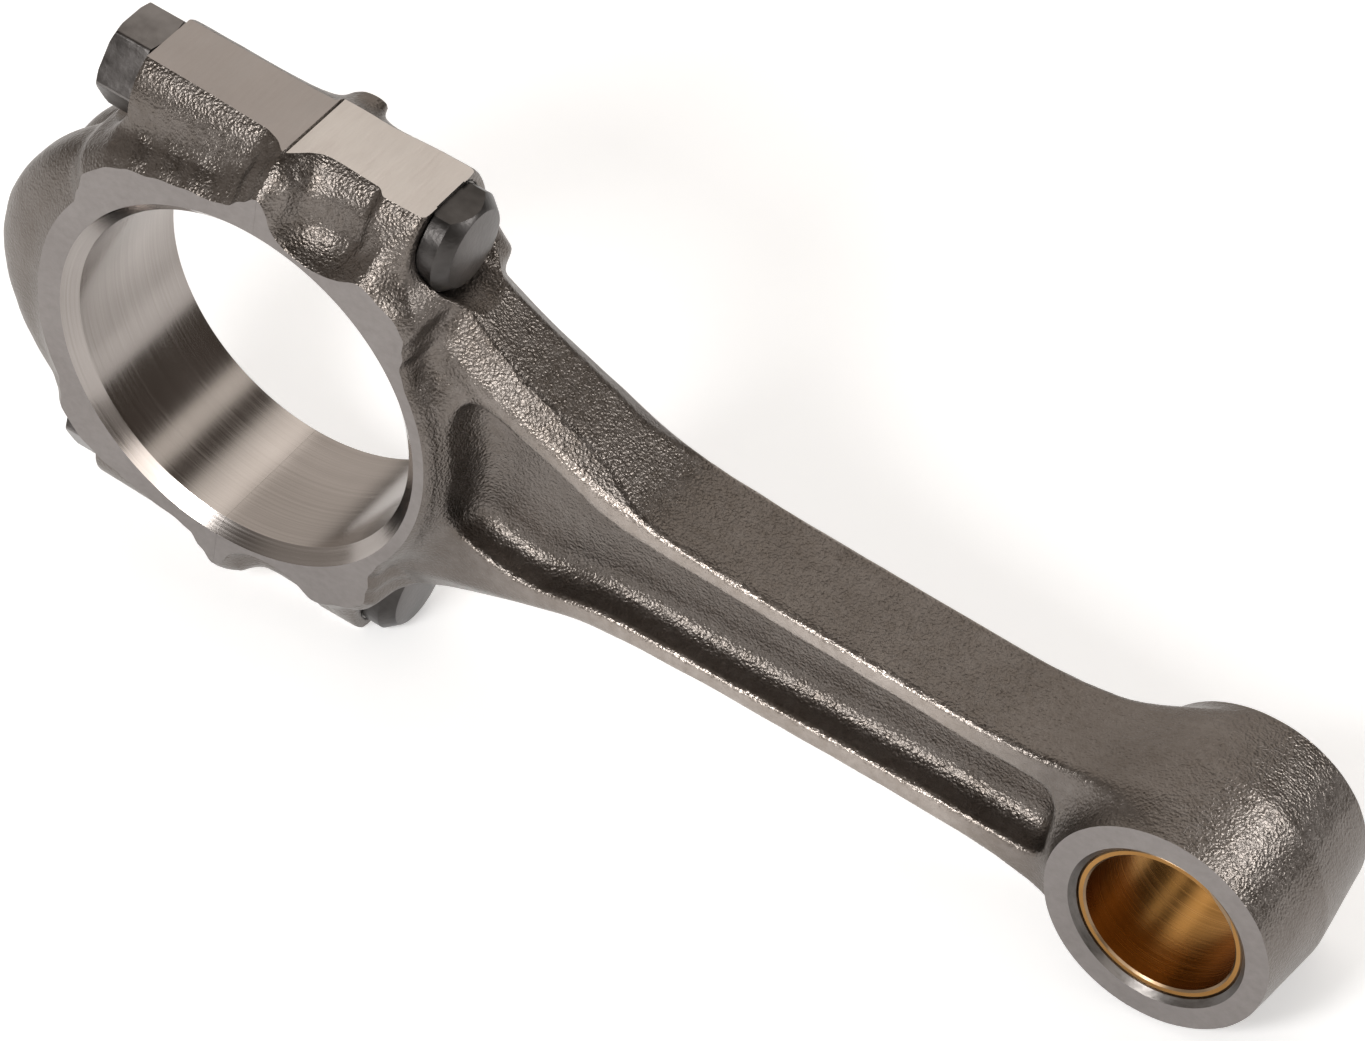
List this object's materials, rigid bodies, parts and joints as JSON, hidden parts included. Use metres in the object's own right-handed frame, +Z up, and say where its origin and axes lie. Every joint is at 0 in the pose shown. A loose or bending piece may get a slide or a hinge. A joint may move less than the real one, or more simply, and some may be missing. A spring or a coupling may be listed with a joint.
{
  "type": "connecting rod",
  "caption": "Forged engine connecting rod: bolted split big end, I-beam shank and small end with a pressed bronze bush.",
  "frame": {"origin": "middle of the rod's footprint on the floor that it lies on, under the middle of its bounding box", "axes": "+X runs from the big end towards the small end, Y runs along both bores (-Y is the side with the crank-fillet chamfer), +Z is up. The rod rests on edge, its long axis sloping 10.35 degrees down towards +X."},
  "size_m": [0.2196, 0.029, 0.0957],
  "materials": {
    "forged_steel": "shot-peened dark forging, with brushed machined faces",
    "bush_bronze": "fine-bored bronze",
    "black_oxide_steel": "black oxide"
  },
  "bodies": {
    "rod": {"rod_body": "forged_steel", "small_end_bush": "bush_bronze"},
    "cap": {"rod_cap": "forged_steel"},
    "upper_bolt": {"rod_bolt_upper": "black_oxide_steel"},
    "lower_bolt": {"rod_bolt_lower": "black_oxide_steel"},
    "upper_nut": {"rod_nut_upper": "black_oxide_steel"},
    "lower_nut": {"rod_nut_lower": "black_oxide_steel"}
  },
  "joints": [
    {"name": "cap_off", "type": "slide", "parent": "rod", "child": "cap", "axis": [-0.9837, 0, 0.1797], "range_m": [0, 0.06]},
    {"name": "upper_nut_off", "type": "slide", "parent": "cap", "child": "upper_nut", "axis": [-0.9837, 0, 0.1797], "range_m": [0, 0.02]},
    {"name": "lower_nut_off", "type": "slide", "parent": "cap", "child": "lower_nut", "axis": [-0.9837, 0, 0.1797], "range_m": [0, 0.02]},
    {"name": "upper_bolt_out", "type": "slide", "parent": "rod", "child": "upper_bolt", "axis": [0.9837, 0, -0.1797], "range_m": [0, 0.07]},
    {"name": "lower_bolt_out", "type": "slide", "parent": "rod", "child": "lower_bolt", "axis": [0.9837, 0, -0.1797], "range_m": [0, 0.07]}
  ]
}
